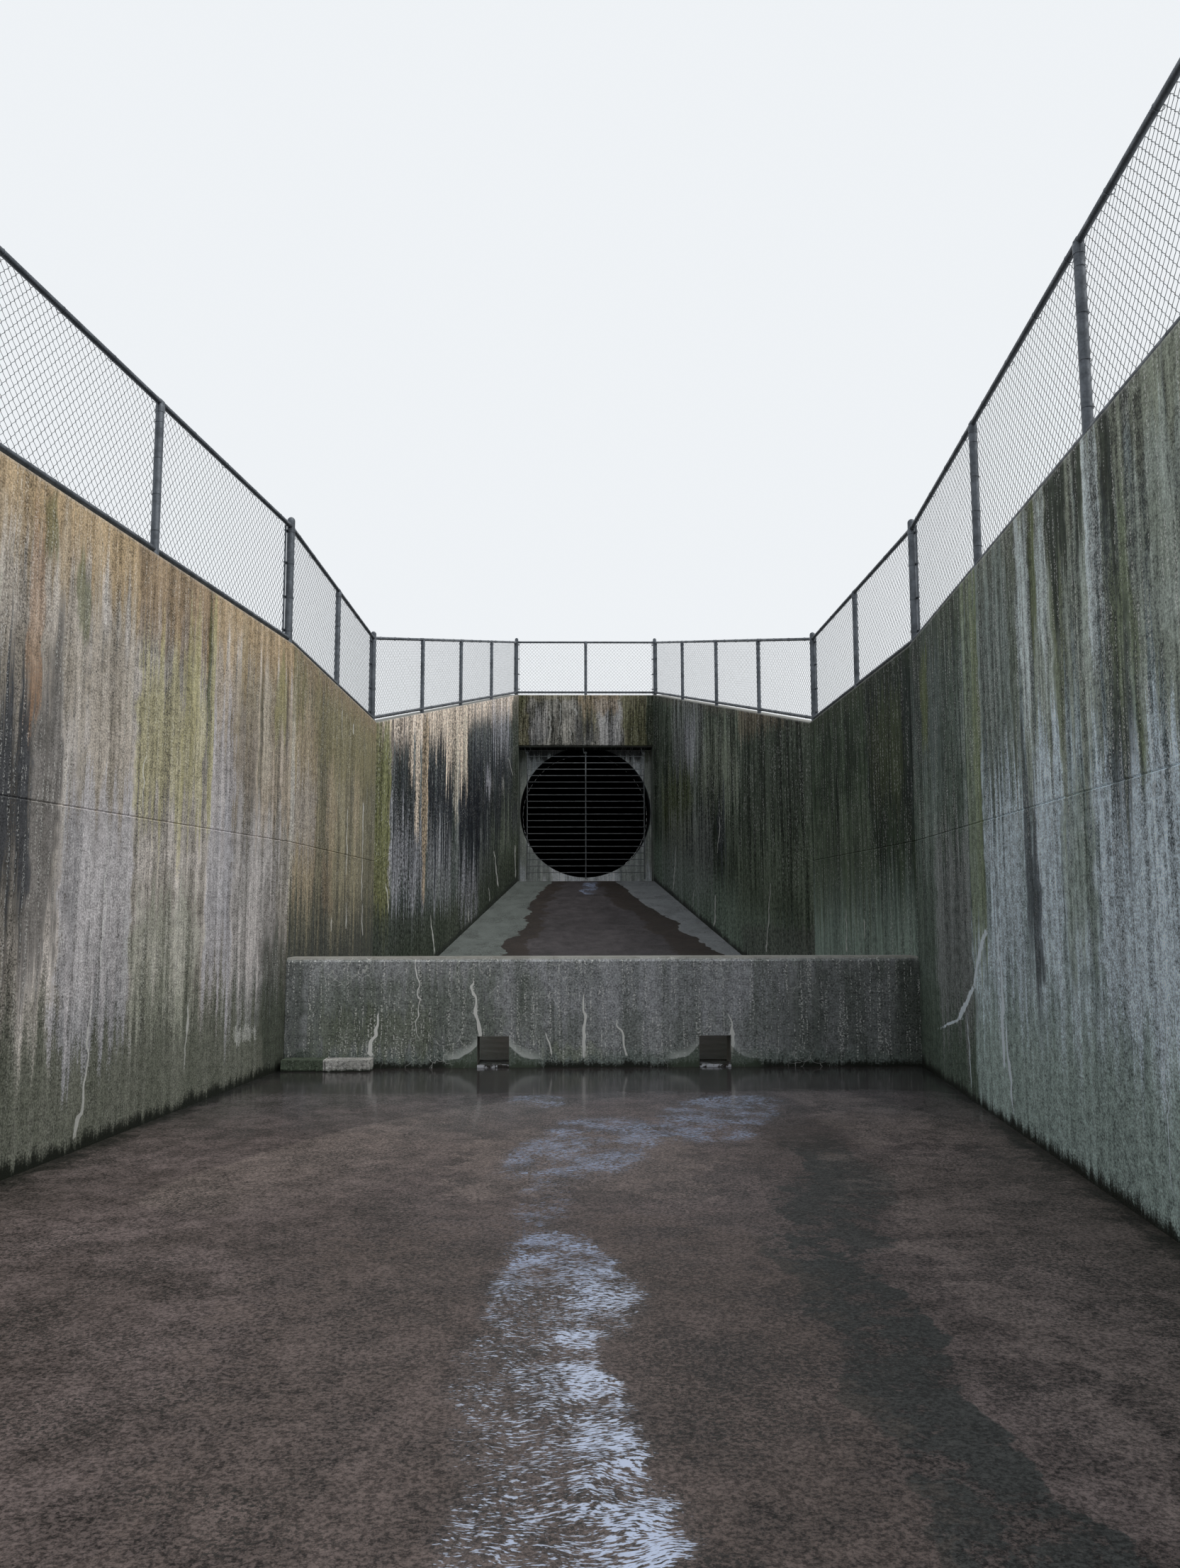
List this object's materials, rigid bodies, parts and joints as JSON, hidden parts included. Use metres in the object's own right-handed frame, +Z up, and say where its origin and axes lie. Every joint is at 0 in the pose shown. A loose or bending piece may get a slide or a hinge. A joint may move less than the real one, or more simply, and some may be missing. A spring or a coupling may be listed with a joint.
{
  "type": "culvert headwall",
  "caption": "Concrete culvert outlet with a hung bar rack, flared wing walls, a sloping chute, a stilling basin, an end weir, a lined channel and a chain-link guard fence.",
  "frame": {"origin": "under the middle of the weir, on the level underside that the floor slabs, the walls and the cut-off walls share", "axes": "+X to the right looking upstream, +Y upstream towards the culvert, +Z up"},
  "size_m": [7.6801, 24.5955, 7.4615],
  "materials": {
    "wall_concrete_warm": "weathered board-marked concrete, warm stains",
    "wall_concrete_grey": "weathered board-marked concrete, grey-green stains",
    "floor_concrete": "water-worn floated concrete",
    "galvanised_steel": "dull galvanised",
    "rack_steel": "weathered galvanised"
  },
  "bodies": {
    "structure": {"channel_wall_left_lower": "wall_concrete_warm", "channel_wall_left_upper": "wall_concrete_warm", "basin_wall_left_lower": "wall_concrete_warm", "basin_wall_left_upper": "wall_concrete_warm", "wing_wall_left_lower": "wall_concrete_warm", "wing_wall_left_upper": "wall_concrete_warm", "channel_wall_right_lower": "wall_concrete_grey", "channel_wall_right_upper": "wall_concrete_grey", "basin_wall_right_lower": "wall_concrete_grey", "basin_wall_right_upper": "wall_concrete_grey", "wing_wall_right_lower": "wall_concrete_grey", "wing_wall_right_upper": "wall_concrete_grey", "portal_side_left": "wall_concrete_grey", "portal_side_right": "wall_concrete_grey", "portal_roof": "wall_concrete_grey", "headwall_beam": "wall_concrete_grey", "bulkhead": "wall_concrete_grey", "weir_wall": "wall_concrete_grey", "loose_blocks": "wall_concrete_grey", "channel_floor": "floor_concrete", "basin_floor": "floor_concrete", "chute_slab": "floor_concrete", "portal_sill": "floor_concrete", "barrel_end": "floor_concrete", "fence_posts_left": "galvanised_steel", "fence_posts_right": "galvanised_steel", "fence_posts_head": "galvanised_steel", "rails_channel_left": "galvanised_steel", "rails_channel_right": "galvanised_steel", "rails_basin_left": "galvanised_steel", "rails_basin_right": "galvanised_steel", "rails_wing_left": "galvanised_steel", "rails_wing_right": "galvanised_steel", "rails_head": "galvanised_steel", "fabric_channel_left": "galvanised_steel", "fabric_channel_right": "galvanised_steel", "fabric_basin_left": "galvanised_steel", "fabric_basin_right": "galvanised_steel", "fabric_wing_left": "galvanised_steel", "fabric_wing_right": "galvanised_steel", "fabric_head": "galvanised_steel", "rack_hangers": "rack_steel"},
    "rack": {"trash_rack": "rack_steel"}
  },
  "joints": [
    {"name": "rack_swing", "type": "hinge", "parent": "structure", "child": "rack", "pos_m": [0, 13.39, 5.022], "axis": [-1, 0, 0], "range_deg": [-7, 80]}
  ]
}
